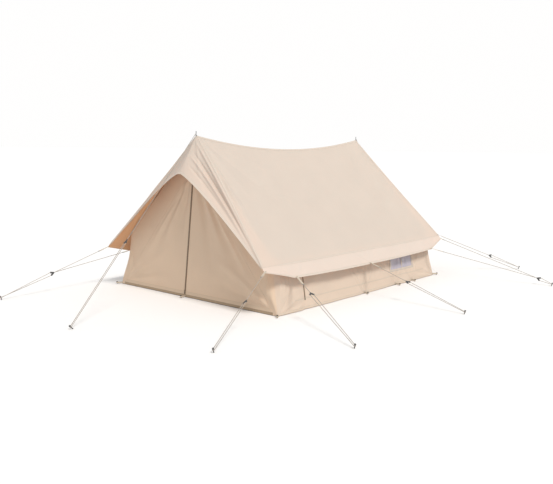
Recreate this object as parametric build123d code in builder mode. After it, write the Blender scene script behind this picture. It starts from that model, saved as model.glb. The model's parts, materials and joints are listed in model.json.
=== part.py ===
"""Two-pole ridge tent: a sloping fly on two upright poles, low side walls, beaks over both ends,
a zipped door in the front wall, a groundsheet, and the guy ropes that hold it all taut.

Millimetres. X runs across the tent (+X is the window side), Y along the ridge (the door is at -Y)
and Z up from the ground. The origin is on the ground under the middle of the ridge.
"""

import math
import os

from build123d import *

# Floor and walls
HALF_WIDTH = 1100.0  # floor edge from the middle
HALF_LENGTH = 1400.0
WALL_LEAN = 75.0  # how far the side wall's top stands inside its foot
CLOTH = 3.0  # thickness of every fabric panel
GAP = 0.5  # between panels that part from each other
SEAM_CLEARANCE = 2.0  # between the fly and a wall's top edge or a beak's

# Fly
PEAK_HEIGHT = 1573.0  # fabric at the pole tops
PEAK_HALF_SPAN = 1354.0  # pole from the middle of the ridge
RIDGE_SAG = 122.0
EAVE_HALF_SPAN = 1060.0  # fold line between roof and eave flap
EAVE_HEIGHT = 454.0
OVERHANG = 193.0  # eave past the floor's ends
EAVE_FLAP = 178.0  # width of the flap below the fold line
FLAP_TIP = 56.0  # straight part of the flap's end
FLAP_CORNER = 160.0  # the cut corner's lower point, below the fold
FLAP_CUT = 352.0  # the cut corner's length along the eave
SEAM_BOW = -0.3  # curve of the fly's end seam as a share of its reach; below 0 it is cut hollow
BEAK_DEPTH = 221.0  # beak's lowest middle point, in front of the peak
BEAK_DROP = 358.0  # and below it
BEAK_BOW = 45.0  # rise of each half of the hem above a straight line

# Door and end walls
WALL_FOOT = 20.0  # end wall's foot past the floor's end
DOOR_HEIGHT = 1300.0
DOOR_FOOT = 30.0  # door's lower edge above the ground
DOOR_MARGIN = 55.0  # floor corner to the door's outer foot
ZIP_DRIFT = 95.0  # zip's foot from the middle, towards -X
TIP_CUT = 15.0  # square cut across each end of a door leaf's hinge seam
ZIP_TAPE = 9.0  # width of each half of the zip
ZIP_THICK = 2.0
APEX_CLEARANCE = 14.0  # end wall's top below the beak

# Window and cable slit in the side wall
WINDOW_WIDTH = 455.0
WINDOW_FROM_END = 465.0  # rear edge of the window to the rear end of the floor
WINDOW_SILL = 165.0  # height up the wall
WINDOW_HEIGHT = 215.0
WINDOW_FRAME = 16.0
SLIT_FROM_END = 380.0  # cable slit to the front end of the floor
SLIT_FOOT = 85.0
SLIT_LENGTH = 240.0

# Groundsheet, poles and hardware
SHEET_THICK = 3.0
POLE_RADIUS = 12.5
POLE_WALL = 1.5
POLE_SECTIONS = 3
SPIKE_RADIUS = 4.0
SPIKE_RISE = 42.0  # spike above the fabric peak
GROMMET_CLEARANCE = 2.0
PEG_RADIUS = 4.0
STRAP_WIDTH = 20.0
STRAP_THICK = 2.0
RING_RADIUS = 11.0
RING_WIRE = 2.0
ROPE_RADIUS = 2.5
RUNNER_LENGTH = 44.0
RUNNER_SPREAD = 22.0  # each of the runner's arms from its middle
RUNNER_THICK = 6.0
LOOP_HALF = 7.0  # half the width of the rope's turn round a peg
LOOP_HEIGHT = 22.0  # rope above the ground at the peg

EAVE_END = HALF_LENGTH + OVERHANG
ROOF_SLOPE = math.atan2(PEAK_HEIGHT - EAVE_HEIGHT, EAVE_HALF_SPAN)
DROP = CLOTH / math.cos(ROOF_SLOPE)  # fly's thickness, measured upright
WALL_TOP_X = HALF_WIDTH - WALL_LEAN
WALL_FOOT_Y = HALF_LENGTH + WALL_FOOT
WALL_TOP_Y = PEAK_HALF_SPAN + POLE_RADIUS + 5.0  # end wall just clear of the pole
FINISHED = {}


def keep(name, piece):
    """Label a finished piece and write it as its own node."""
    piece.label = name
    FINISHED[name] = piece
    export_step(piece, f"parts/{name}.step")


def ridge_height(y):
    """The ridge hangs in a parabola between the poles and is level past them."""
    share = min(abs(y) / PEAK_HALF_SPAN, 1.0)
    return PEAK_HEIGHT - RIDGE_SAG * (1 - share**2)


def roof_height(x, y):
    """Straight line from the ridge down to the fold line, at distance x from the middle."""
    ridge = ridge_height(y)
    return ridge + (EAVE_HEIGHT - ridge) * abs(x) / EAVE_HALF_SPAN


def end_seam(x):
    """How far out the fly's end seam runs, from the peak out to the eave's end."""
    share = min(abs(x) / EAVE_HALF_SPAN, 1.0)
    reach = EAVE_END - PEAK_HALF_SPAN
    return PEAK_HALF_SPAN + reach * (share + SEAM_BOW * share * (1 - share) ** 1.1)


os.makedirs("parts", exist_ok=True)

# ---- Fly: two roof panels sewn along the ridge, each a sheet that sags with it ----------------
HALF_STATIONS = [PEAK_HALF_SPAN * share for share in (0.3, 0.6, 0.9)] + [1.02 * EAVE_END]  # past the seam
STATIONS = [-y for y in reversed(HALF_STATIONS)] + [0.0] + HALF_STATIONS
SEAM_STEPS = [EAVE_HALF_SPAN * k / 6 for k in range(7)]


def roof_panel(side):
    with BuildPart() as panel:
        for y in STATIONS:
            ridge = ridge_height(y)
            fold = Vector(side * EAVE_HALF_SPAN, EAVE_HEIGHT)
            inward = Vector(side * math.sin(ROOF_SLOPE), math.cos(ROOF_SLOPE)) * CLOTH
            with BuildSketch(Plane.XZ.offset(-y)):
                with BuildLine():
                    Polyline((0, ridge), fold, fold - inward, (0, ridge - DROP), close=True)
                make_face()
        loft()
        with BuildSketch(Plane.XY):
            with BuildLine():
                far = [(side * x, end_seam(x)) for x in SEAM_STEPS]
                near = [(x, -y) for x, y in far]
                Spline(far)
                Spline(near)
                Line(far[-1], near[-1])
                Line(far[0], near[0])
            make_face()
        extrude(amount=2 * PEAK_HEIGHT, mode=Mode.INTERSECT)
        with Locations((0, PEAK_HALF_SPAN), (0, -PEAK_HALF_SPAN)):
            Cylinder(
                SPIKE_RADIUS + GROMMET_CLEARANCE,
                2 * PEAK_HEIGHT,
                align=(Align.CENTER, Align.CENTER, Align.MIN),
                mode=Mode.SUBTRACT,
            )
    return panel.part


keep("roof_panel_right", roof_panel(1))
keep("roof_panel_left", roof_panel(-1))


# ---- Eave flaps: flat strips that carry the roof's slope on past the walls --------------------
def slope_plane(side):
    """The roof's slope at the fold line, with its own x along the eave and y up the slope."""
    across = (math.sin(ROOF_SLOPE) * side, 0, math.cos(ROOF_SLOPE))
    return Plane((side * EAVE_HALF_SPAN, 0, EAVE_HEIGHT), x_dir=(0, 1, 0), z_dir=across)


def eave_flap(side):
    with BuildPart() as flap:
        with BuildSketch(slope_plane(side)):
            with BuildLine():
                cut = EAVE_END - FLAP_CUT
                down = -side
                outline = [(-EAVE_END, 0), (-EAVE_END - 6, down * FLAP_TIP), (-cut, down * FLAP_CORNER)]
                Polyline(*outline)
                ThreePointArc((-cut, down * FLAP_CORNER), (0, down * EAVE_FLAP), (cut, down * FLAP_CORNER))
                Polyline((cut, down * FLAP_CORNER), (EAVE_END + 6, down * FLAP_TIP), (EAVE_END, 0))
                Line((EAVE_END, 0), (-EAVE_END, 0))
            make_face()
        extrude(amount=-CLOTH)
    return flap.part


keep("eave_flap_right", eave_flap(1))
keep("eave_flap_left", eave_flap(-1))


# ---- Beaks: each end's overhang, from the end seam down to an arched hem ----------------------
def arch(x):
    """Out and up of the beak's hem at distance x from the middle."""
    share = min(abs(x) / EAVE_HALF_SPAN, 1.0)
    out = PEAK_HALF_SPAN + BEAK_DEPTH + (EAVE_END - PEAK_HALF_SPAN - BEAK_DEPTH) * share
    crown = PEAK_HEIGHT - BEAK_DROP
    foot = EAVE_HEIGHT - FLAP_TIP / 2
    bow = BEAK_BOW * math.sin(math.pi * share**0.65)
    return out, crown + (foot - crown) * share + bow


def beak(end):
    """Both halves of a beak; end is -1 at the door and 1 at the rear."""
    with BuildPart() as cloth:
        for k in range(9):
            x = (EAVE_HALF_SPAN - GAP) * k / 8
            seam_y, seam_z = end_seam(x) + SEAM_CLEARANCE, roof_height(x, PEAK_HALF_SPAN)
            hem_y, hem_z = arch(x)
            with BuildSketch(Plane.YZ.offset(x)):
                with BuildLine():
                    Polyline(
                        (end * (seam_y + CLOTH), seam_z),
                        (end * (hem_y + CLOTH), hem_z),
                        (end * hem_y, hem_z),
                        (end * seam_y, seam_z),
                        close=True,
                    )
                make_face()
        loft()
        mirror(about=Plane.YZ)
        with Locations((0, end * PEAK_HALF_SPAN)):
            Cylinder(
                SPIKE_RADIUS + GROMMET_CLEARANCE,
                2 * PEAK_HEIGHT,
                align=(Align.CENTER, Align.CENTER, Align.MIN),
                mode=Mode.SUBTRACT,
            )
    return cloth.part


keep("front_beak", beak(-1))
keep("rear_beak", beak(1))

# ---- Side walls: leaning panels from the ground to the underside of the fly --------------------
WALL_TOP_Z = roof_height(WALL_TOP_X, 0) - DROP - SEAM_CLEARANCE
SIDE_HEIGHT = math.hypot(WALL_LEAN, WALL_TOP_Z)
SIDE_LEAN = math.atan2(WALL_LEAN, WALL_TOP_Z)


def side_plane(side):
    """Outer face of a side wall, with its own x along the wall and y up it on the right side."""
    outward = (side * math.cos(SIDE_LEAN), 0, math.sin(SIDE_LEAN))
    return Plane((side * HALF_WIDTH, 0, 0), x_dir=(0, side, 0), z_dir=outward)


WINDOW_Y = HALF_LENGTH - WINDOW_FROM_END - WINDOW_WIDTH / 2
WINDOW_V = WINDOW_SILL + WINDOW_HEIGHT / 2
SLIT_Y = -HALF_LENGTH + SLIT_FROM_END


def side_wall(side):
    foot = (SHEET_THICK - GAP + CLOTH * math.sin(SIDE_LEAN)) / math.cos(SIDE_LEAN)  # on the groundsheet
    top = HALF_LENGTH - (WALL_FOOT_Y - WALL_TOP_Y) * WALL_TOP_Z / PEAK_HEIGHT
    with BuildPart() as wall:
        with BuildSketch(side_plane(side)):
            with BuildLine():
                Polyline(
                    (-HALF_LENGTH, foot),
                    (HALF_LENGTH, foot),
                    (top, SIDE_HEIGHT),
                    (-top, SIDE_HEIGHT),
                    close=True,
                )
            make_face()
            with Locations((side * WINDOW_Y, WINDOW_V)):
                Rectangle(WINDOW_WIDTH, WINDOW_HEIGHT, mode=Mode.SUBTRACT)
        extrude(amount=-CLOTH)
    return wall.part


def window_frame(side):
    with BuildPart() as frame:
        with BuildSketch(side_plane(side)):
            with Locations((side * WINDOW_Y, WINDOW_V)):
                Rectangle(WINDOW_WIDTH + 2 * WINDOW_FRAME, WINDOW_HEIGHT + 2 * WINDOW_FRAME)
                Rectangle(WINDOW_WIDTH - WINDOW_FRAME, WINDOW_HEIGHT - WINDOW_FRAME, mode=Mode.SUBTRACT)
                Rectangle(WINDOW_FRAME, WINDOW_HEIGHT)
        extrude(amount=STRAP_THICK)
    return frame.part


def window_mesh(side):
    with BuildPart() as mesh:
        with BuildSketch(side_plane(side)):
            with Locations((side * WINDOW_Y, WINDOW_V)):
                Rectangle(WINDOW_WIDTH, WINDOW_HEIGHT)
        extrude(amount=-CLOTH / 2)
    return mesh.part


for name, side in (("right", 1), ("left", -1)):
    keep(f"side_wall_{name}", side_wall(side))
    keep(f"window_frame_{name}", window_frame(side))
    keep(f"window_mesh_{name}", window_mesh(side))

# Cable slit's zip and its slider, on the outside of the right wall
with BuildPart() as slit_zip:
    with BuildSketch(side_plane(1)):
        with Locations((SLIT_Y, SLIT_FOOT + SLIT_LENGTH / 2)):
            Rectangle(2 * ZIP_TAPE, SLIT_LENGTH)
    extrude(amount=ZIP_THICK)
keep("slit_zip", slit_zip.part)


def zip_slider(plane, x, y):
    """A slider body with its pull hanging under it, lying on a zip that runs along plane's y."""
    with BuildPart() as slider:
        with BuildSketch(plane):
            with Locations((x, y)):
                RectangleRounded(7.0, 14.0, 2.0)
        extrude(amount=4.0)
        with BuildSketch(plane.offset(1.5)):
            with Locations((x, y - 17.0)):
                SlotOverall(26.0, 5.0, rotation=90)
            with Locations((x, y - 25.0)):
                Circle(1.2, mode=Mode.SUBTRACT)
        extrude(amount=1.6)
    return slider.part


keep("slit_slider", zip_slider(side_plane(1).offset(ZIP_THICK + GAP), SLIT_Y, SLIT_FOOT + 32.0))

# ---- End walls: a plain rear wall, and a front wall in two fixed panels round the door ---------
END_TILT = math.atan2(WALL_FOOT_Y - WALL_TOP_Y, PEAK_HEIGHT)
APEX_HEIGHT = PEAK_HEIGHT - (WALL_TOP_Y - PEAK_HALF_SPAN) * BEAK_DROP / BEAK_DEPTH - DROP - APEX_CLEARANCE
SIDE_CLEARANCE = 6.0  # end wall's edge inside the side wall


def end_plane(end):
    """Inner face of an end wall, with its own x across the tent and y up the wall."""
    outward = (0, end * math.cos(END_TILT), math.sin(END_TILT))
    return Plane((0, end * WALL_FOOT_Y, 0), x_dir=(-end, 0, 0), z_dir=outward)


def up_wall(z):
    """Distance up an end wall's slope for a height above the ground."""
    return z / math.cos(END_TILT)


def wall_edge(side, end):
    """The end wall's outline on one side, from its foot up to the apex, in end_plane's own x and y."""
    foot = (side * (HALF_WIDTH - SIDE_CLEARANCE), up_wall(SHEET_THICK))
    shoulder = (side * (WALL_TOP_X - SIDE_CLEARANCE), up_wall(WALL_TOP_Z - SIDE_CLEARANCE))
    return [foot, shoulder, (0, up_wall(APEX_HEIGHT))]


with BuildPart() as rear_wall:
    with BuildSketch(end_plane(1)):
        with BuildLine():
            Polyline(*wall_edge(-1, 1), *wall_edge(1, 1)[1::-1], close=True)
        make_face()
    extrude(amount=CLOTH)
keep("rear_wall", rear_wall.part)

FRONT = end_plane(-1)
ZIP_TOP = (0.0, up_wall(DOOR_HEIGHT))
ZIP_FOOT = (-ZIP_DRIFT, up_wall(DOOR_FOOT))


def door_corner(side):
    """Outer foot of a door leaf."""
    return side * (HALF_WIDTH - DOOR_MARGIN), up_wall(DOOR_FOOT)


def front_panel(side):
    foot, shoulder, apex = wall_edge(side, -1)
    corner = door_corner(side)
    clear = side * GAP
    with BuildPart() as panel:
        with BuildSketch(FRONT):
            with BuildLine():
                Polyline(
                    (clear, apex[1]),
                    shoulder,
                    foot,
                    (corner[0] + clear, foot[1]),
                    (corner[0] + clear, corner[1]),
                    (clear, ZIP_TOP[1] + GAP),
                    close=True,
                )
            make_face()
        extrude(amount=CLOTH)
    return panel.part


def door_leaf(side):
    """Triangle between the zip and the slanting hinge seam, with both ends of that seam cut square."""
    clear = Vector(side * GAP, 0)
    top = Vector(*ZIP_TOP) + clear - Vector(0, 3 * GAP)
    foot = Vector(*ZIP_FOOT) + clear
    corner = Vector(*door_corner(side)) - 2 * clear
    seam = (corner - top).normalized()
    zip_edge = (foot - top).normalized()
    with BuildPart() as leaf:
        with BuildSketch(FRONT):
            with BuildLine():
                Polyline(
                    top + seam * TIP_CUT,
                    top + zip_edge * (TIP_CUT / seam.dot(zip_edge)),
                    foot,
                    corner - Vector(side * TIP_CUT / abs(seam.X), 0),
                    corner - seam * TIP_CUT,
                    close=True,
                )
            make_face()
        extrude(amount=CLOTH)
    return leaf.part


ZIP_ANGLE = math.degrees(math.atan2(ZIP_DRIFT, ZIP_TOP[1] - ZIP_FOOT[1]))
ZIP_LENGTH = math.hypot(ZIP_DRIFT, ZIP_TOP[1] - ZIP_FOOT[1])
ZIP_END = 40.0  # bare tape left at the top, where the two leaves come to a point
LEAF_FACE = FRONT.offset(CLOTH)
ZIP_PLANE = Plane(
    LEAF_FACE.from_local_coords(ZIP_FOOT),
    x_dir=LEAF_FACE.x_dir.rotate(Axis((0, 0, 0), LEAF_FACE.z_dir), -ZIP_ANGLE),
    z_dir=LEAF_FACE.z_dir,
)


def door_zip(side):
    """One half of the door's zip, on the outside of its leaf."""
    with BuildPart() as tape:
        with BuildSketch(ZIP_PLANE):
            with Locations((side * (GAP + ZIP_TAPE / 2), (ZIP_LENGTH - ZIP_END) / 2)):
                Rectangle(ZIP_TAPE, ZIP_LENGTH - ZIP_END)
        extrude(amount=ZIP_THICK)
    return tape.part


for name, side in (("right", 1), ("left", -1)):
    keep(f"front_wall_{name}", front_panel(side))
    keep(f"front_door_{name}", door_leaf(side))
    keep(f"door_zip_{name}", door_zip(side))
SLIDER_REST = 32.0
keep("door_slider", zip_slider(ZIP_PLANE.offset(ZIP_THICK + GAP), -GAP - 3.6, SLIDER_REST))

with BuildPart() as threshold:
    with BuildSketch(FRONT):
        with Locations((0, up_wall((SHEET_THICK + DOOR_FOOT) / 2))):
            Rectangle(2 * (HALF_WIDTH - DOOR_MARGIN) - GAP, up_wall(DOOR_FOOT - SHEET_THICK) - 2 * GAP)
    extrude(amount=CLOTH)
keep("door_threshold", threshold.part)

# ---- Groundsheet ------------------------------------------------------------------------------
with BuildPart() as groundsheet:
    with BuildSketch(Plane.XY):
        RectangleRounded(2 * (HALF_WIDTH + CLOTH), 2 * (WALL_FOOT_Y + 2 * CLOTH), 12.0)
    extrude(amount=SHEET_THICK - GAP)
keep("groundsheet", groundsheet.part)

# ---- Poles: three tubes with a swaged joint, a rubber foot, and a spike through the peak -------
FOOT_HEIGHT = 12.0
POLE_TOP = PEAK_HEIGHT - 30.0
SECTION = (POLE_TOP - SHEET_THICK - FOOT_HEIGHT) / POLE_SECTIONS
SWAGE = 60.0  # length of the thin end that slips into the next tube


def pole_section(end, number):
    """One tube, standing on the one below; all but the top one have a thin end inside the next."""
    base = SHEET_THICK + FOOT_HEIGHT + number * SECTION
    upright = Plane((0, end * PEAK_HALF_SPAN, base))
    with BuildPart() as tube:
        with BuildSketch(upright):
            Circle(POLE_RADIUS)
            Circle(POLE_RADIUS - POLE_WALL, mode=Mode.SUBTRACT)
        extrude(amount=SECTION)
        if number < POLE_SECTIONS - 1:
            with BuildSketch(upright.offset(SECTION - SWAGE)):
                Circle(POLE_RADIUS - POLE_WALL)
                Circle(POLE_RADIUS - 2 * POLE_WALL, mode=Mode.SUBTRACT)
            extrude(amount=2 * SWAGE)
    return tube.part


def pole_foot(end):
    with BuildPart() as foot:
        with BuildSketch(Plane((0, end * PEAK_HALF_SPAN, SHEET_THICK))):
            Circle(POLE_RADIUS + 4.0)
        extrude(amount=FOOT_HEIGHT)
        chamfer(foot.edges().group_by(Axis.Z)[-1], 3.0)
        with BuildSketch(Plane((0, end * PEAK_HALF_SPAN, SHEET_THICK + FOOT_HEIGHT))):
            Circle(POLE_RADIUS - POLE_WALL)
        extrude(amount=20.0)
    return foot.part


def pole_spike(end):
    """Turned plug in the top tube, with the pin that the peak and the guy rope sit on."""
    with BuildPart() as spike:
        with BuildSketch(Plane((0, end * PEAK_HALF_SPAN, POLE_TOP - 20.0))):
            Circle(POLE_RADIUS - POLE_WALL)
        extrude(amount=20.0)
        with BuildSketch(Plane((0, end * PEAK_HALF_SPAN, POLE_TOP))):
            Circle(POLE_RADIUS)
        extrude(amount=4.0)
        with BuildSketch(Plane((0, end * PEAK_HALF_SPAN, POLE_TOP + 4.0))):
            Circle(SPIKE_RADIUS)
        extrude(amount=PEAK_HEIGHT + SPIKE_RISE - POLE_TOP - 4.0)
        fillet(spike.edges().sort_by(Axis.Z)[-1], 0.6 * SPIKE_RADIUS)
    return spike.part


def peak_washer(end):
    with BuildPart() as washer:
        with BuildSketch(Plane((0, end * PEAK_HALF_SPAN, PEAK_HEIGHT + GAP))):
            Circle(SPIKE_RADIUS + 8.0)
            Circle(SPIKE_RADIUS + 0.3, mode=Mode.SUBTRACT)
        extrude(amount=2.0)
    return washer.part


SECTION_NAMES = ("lower", "middle", "upper")
for place, end in (("front", -1), ("rear", 1)):
    for number, level in enumerate(SECTION_NAMES):
        keep(f"{place}_pole_{level}", pole_section(end, number))
    keep(f"{place}_pole_foot", pole_foot(end))
    keep(f"{place}_pole_spike", pole_spike(end))
    keep(f"{place}_peak_washer", peak_washer(end))

# ---- Guy ropes ---------------------------------------------------------------------------------
# Where each one pulls on the fly, where its peg stands, how long its strap is, how far down the
# rope its runner sits, and how far the runner is twisted about the rope, in degrees.
def flap_point(down):
    """X and Z of the middle of a flap's thickness, at a distance below the fold line."""
    along, inward = math.cos(ROOF_SLOPE), math.sin(ROOF_SLOPE)
    x = EAVE_HALF_SPAN + down * along - CLOTH / 2 * inward
    return x, EAVE_HEIGHT - down * inward - CLOTH / 2 * along


TIP_X, TIP_Z = flap_point(FLAP_TIP)
CORNER_X, CORNER_Z = flap_point(FLAP_CORNER)
EDGE_X, EDGE_Z = flap_point(EAVE_FLAP)
TIP_Y, CORNER_Y = EAVE_END + 6.0, EAVE_END - FLAP_CUT
SPIKE_Z = PEAK_HEIGHT + 22.0
GUYS = {
    "front_peak": ((0, -PEAK_HALF_SPAN, SPIKE_Z), (160, -2880), 0, 1300, 20),
    "front_left": ((-TIP_X, -TIP_Y, TIP_Z), (-1260, -2710), 95, 622, 80),
    "front_right": ((TIP_X, -TIP_Y, TIP_Z), (1460, -2560), 60, 430, 30),
    "right_front": ((CORNER_X, -CORNER_Y, CORNER_Z), (2150, -1780), 130, 300, 0),
    "right_middle": ((EDGE_X, -60, EDGE_Z), (2270, -200), 105, 450, 15),
    "right_rear": ((TIP_X, TIP_Y, TIP_Z), (2390, 1700), 30, 1180, 60),
    "rear_right": ((EAVE_HALF_SPAN, TIP_Y, EAVE_HEIGHT), (1690, 2550), 80, 750, 60),
    "rear_left": ((-EAVE_HALF_SPAN, TIP_Y, EAVE_HEIGHT), (-1690, 2550), 80, 750, 60),
    "left_rear": ((-TIP_X, TIP_Y, TIP_Z), (-2390, 1700), 30, 1180, 60),
    "left_middle": ((-EDGE_X, -60, EDGE_Z), (-2270, -200), 105, 450, 15),
    "rear_peak": ((0, PEAK_HALF_SPAN, SPIKE_Z), (-160, 2880), 0, 1300, 20),
}
# Second rope from a flap's corner to the same runner
BRIDLES = {
    "front_left": ((-CORNER_X, -CORNER_Y, CORNER_Z), 95),
    "right_rear": ((CORNER_X, CORNER_Y, CORNER_Z), 125),
    "left_rear": ((-CORNER_X, CORNER_Y, CORNER_Z), 125),
}
STRAP_CLEARANCE = 6.0  # strap's start outside the cloth it is sewn to


def guy_frame(name):
    """A guy's unit vectors: down the rope, level across it, and across its runner."""
    anchor, peg, _, _, twist = GUYS[name]
    along = (Vector(*peg, LOOP_HEIGHT) - Vector(*anchor)).normalized()
    level = along.cross(Vector(0, 0, 1)).normalized()
    across = level.rotate(Axis((0, 0, 0), along), twist)
    return along, level, across


def guy_points(name):
    """The rope's points: ring, runner's nose, one arm, round the peg, and back to the other arm."""
    anchor, peg, strap, distance, _ = GUYS[name]
    along, level, across = guy_frame(name)
    start = Vector(*anchor) + along * ((strap + 2 * RING_RADIUS) if strap else SPIKE_RADIUS)
    nose = Vector(*anchor) + along * distance
    arm = nose + along * (RUNNER_LENGTH - 8)
    turn = Vector(*peg, LOOP_HEIGHT) + along * LOOP_HALF
    return [
        start,
        nose,
        arm + across * (RUNNER_SPREAD - 5),
        turn + level * LOOP_HALF,
        turn - level * LOOP_HALF,
        arm - across * (RUNNER_SPREAD - 5),
    ]


def bend_radii(points):
    """0.45 of the shorter run beside each corner, over the tangent of half the turn."""
    radii = []
    for before, here, after in zip(points, points[1:], points[2:]):
        turn = math.radians((here - before).get_angle(after - here))
        shorter = min((here - before).length, (after - here).length)
        radii.append(0.45 * shorter / math.tan(turn / 2))
    return radii


def rope(points):
    radii = bend_radii(points)
    with BuildPart() as cord:
        with BuildLine() as route:
            FilletPolyline(*points, radius=radii)
        with BuildSketch(Plane(points[0], z_dir=points[1] - points[0])):
            Circle(ROPE_RADIUS)
        sweep()
    length = route.wires()[0].length
    share = cord.part.volume / (math.pi * ROPE_RADIUS**2 * length)
    print(f"  length {length:.0f}, tube/section {share:.4f}, radii {[round(r, 1) for r in radii]}")
    return cord.part


def straight_rope(start, finish):
    with BuildPart() as cord:
        with BuildSketch(Plane(start, z_dir=finish - start)):
            Circle(ROPE_RADIUS)
        extrude(amount=(finish - start).length)
    return cord.part


def runner(name):
    """Arrow-shaped plate: the rope comes in at its nose and leaves down both arms."""
    anchor, _, _, distance, _ = GUYS[name]
    along, _, across = guy_frame(name)
    plate = Plane(Vector(*anchor) + along * distance, x_dir=along, z_dir=along.cross(across))
    with BuildPart() as body:
        with BuildSketch(plate) as outline:
            with BuildLine():
                Polyline(
                    (-6, 0),
                    (RUNNER_LENGTH - 8, -RUNNER_SPREAD - 3),
                    (RUNNER_LENGTH, -RUNNER_SPREAD + 10),
                    (RUNNER_LENGTH / 2 + 4, 0),
                    (RUNNER_LENGTH, RUNNER_SPREAD - 10),
                    (RUNNER_LENGTH - 8, RUNNER_SPREAD + 3),
                    close=True,
                )
            make_face()
            fillet(outline.vertices(), 2.5)
        extrude(amount=RUNNER_THICK / 2, both=True)
    return body.part


def ring(centre, along, across):
    """Round wire ring lying in the plane of its strap."""
    flat = Plane(centre, x_dir=along, z_dir=along.cross(across))
    with BuildPart() as wire:
        with BuildSketch(Plane(centre + along * (RING_RADIUS - RING_WIRE), x_dir=along, z_dir=across)):
            Circle(RING_WIRE)
        revolve(axis=Axis(centre, flat.z_dir))
    return wire.part


def strap_plate(anchor, along, across, length):
    """Webbing from the cloth to the ring."""
    flat = Plane(anchor, x_dir=along, z_dir=along.cross(across))
    reach = length + RING_WIRE - STRAP_CLEARANCE
    with BuildPart() as webbing:
        with BuildSketch(flat):
            with Locations((STRAP_CLEARANCE + reach / 2, 0)):
                Rectangle(reach, STRAP_WIDTH)
        extrude(amount=STRAP_THICK / 2, both=True)
    return webbing.part


def peg(foot, axis):
    """A stake's head above the ground, leaning away from the rope, with a hook to hold it down."""
    reach = Plane(foot - axis * 60, z_dir=axis)
    with BuildPart() as stake:
        with BuildSketch(reach):
            Circle(PEG_RADIUS)
        extrude(amount=60 + 16)
        with BuildSketch(reach.offset(60 + 10)):
            Circle(PEG_RADIUS + 4.0)
        extrude(amount=6)
        with Locations((0, 0, 0)):
            Box(12000, 12000, 200, align=(Align.CENTER, Align.CENTER, Align.MAX), mode=Mode.SUBTRACT)
    return stake.part


straps, rings, runners, pegs = [], [], [], []
for name, (anchor, foot, strap, distance, _) in GUYS.items():
    along, level, across = guy_frame(name)
    print(name)
    keep(f"guy_{name}", rope(guy_points(name)))
    runners.append(runner(name))
    pegs.append(peg(Vector(*foot, LOOP_HEIGHT), level.cross(along)))
    if strap:
        straps.append(strap_plate(Vector(*anchor), along, level, strap))
        rings.append(ring(Vector(*anchor) + along * (strap + RING_RADIUS), along, level))
for name, (anchor, strap) in BRIDLES.items():
    nose = guy_points(name)[1]
    along = (nose - Vector(*anchor)).normalized()
    level = along.cross(Vector(0, 0, 1)).normalized()
    keep(f"bridle_{name}", straight_rope(Vector(*anchor) + along * (strap + 2 * RING_RADIUS), nose))
    straps.append(strap_plate(Vector(*anchor), along, level, strap))
    rings.append(ring(Vector(*anchor) + along * (strap + RING_RADIUS), along, level))
keep("eave_straps", Compound(straps))
keep("eave_rings", Compound(rings))
keep("guy_runners", Compound(runners))
keep("guy_pegs", Compound(pegs))

# ---- Wall pegs and the webbing loops that they go through --------------------------------------
LOOP_REACH = 58.0
LOOP_Z = 6.0
SIDE_PEGS = (-65.0, 567.0, 900.0)
loops, stakes = [], []
spots = [(side * HALF_WIDTH, y, side, 0) for side in (1, -1) for y in SIDE_PEGS]
spots += [
    (side * (HALF_WIDTH - 8), end * (WALL_FOOT_Y + CLOTH), side * 0.7, end * 0.7)
    for side in (1, -1)
    for end in (1, -1)
]
spots += [(-ZIP_DRIFT if end < 0 else 0, end * (WALL_FOOT_Y + CLOTH), 0, end) for end in (-1, 1)]
for x, y, out_x, out_y in spots:
    away = Vector(out_x, out_y, 0).normalized()
    start = Vector(x, y, LOOP_Z) + away * 5
    flat = Plane(start, x_dir=away, z_dir=(0, 0, 1))
    with BuildPart() as loop:
        with BuildSketch(flat):
            with Locations((LOOP_REACH / 2, 0)):
                SlotOverall(LOOP_REACH, 22.0)
            with Locations((LOOP_REACH - 14, 0)):
                Circle(PEG_RADIUS + 2.5, mode=Mode.SUBTRACT)
        extrude(amount=STRAP_THICK)
    loops.append(loop.part)
    lean = (away * 0.35 + Vector(0, 0, 1)).normalized()
    stakes.append(peg(start + away * (LOOP_REACH - 14) + lean * 4, lean))
keep("hem_loops", Compound(loops))
keep("wall_pegs", Compound(stakes))

print(len(FINISHED), "nodes")
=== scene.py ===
"""Canvas ridge tent on two poles, pitched with its guy ropes on a pale floor.

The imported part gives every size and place; the cloth, ropes and finishes are made here around it.
Metres. X runs across the tent, Y along the ridge with the door at -Y, Z up.
"""

import json
import math

import bpy
import numpy as np
from mathutils import Matrix, Vector


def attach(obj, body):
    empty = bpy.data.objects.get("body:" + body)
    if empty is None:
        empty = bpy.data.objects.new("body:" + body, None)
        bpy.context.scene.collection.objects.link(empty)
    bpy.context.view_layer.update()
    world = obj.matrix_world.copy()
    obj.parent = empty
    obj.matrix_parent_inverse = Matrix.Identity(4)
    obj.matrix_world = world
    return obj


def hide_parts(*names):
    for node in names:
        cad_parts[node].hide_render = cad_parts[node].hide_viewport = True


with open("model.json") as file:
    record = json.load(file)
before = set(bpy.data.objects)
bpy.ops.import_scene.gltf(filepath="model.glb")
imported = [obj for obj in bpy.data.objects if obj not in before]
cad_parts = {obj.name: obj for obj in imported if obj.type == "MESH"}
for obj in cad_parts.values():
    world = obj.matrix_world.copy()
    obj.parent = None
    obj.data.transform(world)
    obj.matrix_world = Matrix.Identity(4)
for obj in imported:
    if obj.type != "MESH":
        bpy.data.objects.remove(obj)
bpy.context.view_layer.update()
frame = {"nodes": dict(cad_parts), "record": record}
nodes = frame["nodes"]

# ---- Camera ------------------------------------------------------------------------------------
# Standing height, well off the front right corner, so the door end and the window side both show.
CAMERA_SPOT = (4.924, -5.960, 1.458)
YAW, PITCH, ROLL = math.radians(40.288), math.radians(7.657), math.radians(0.669)

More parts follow.
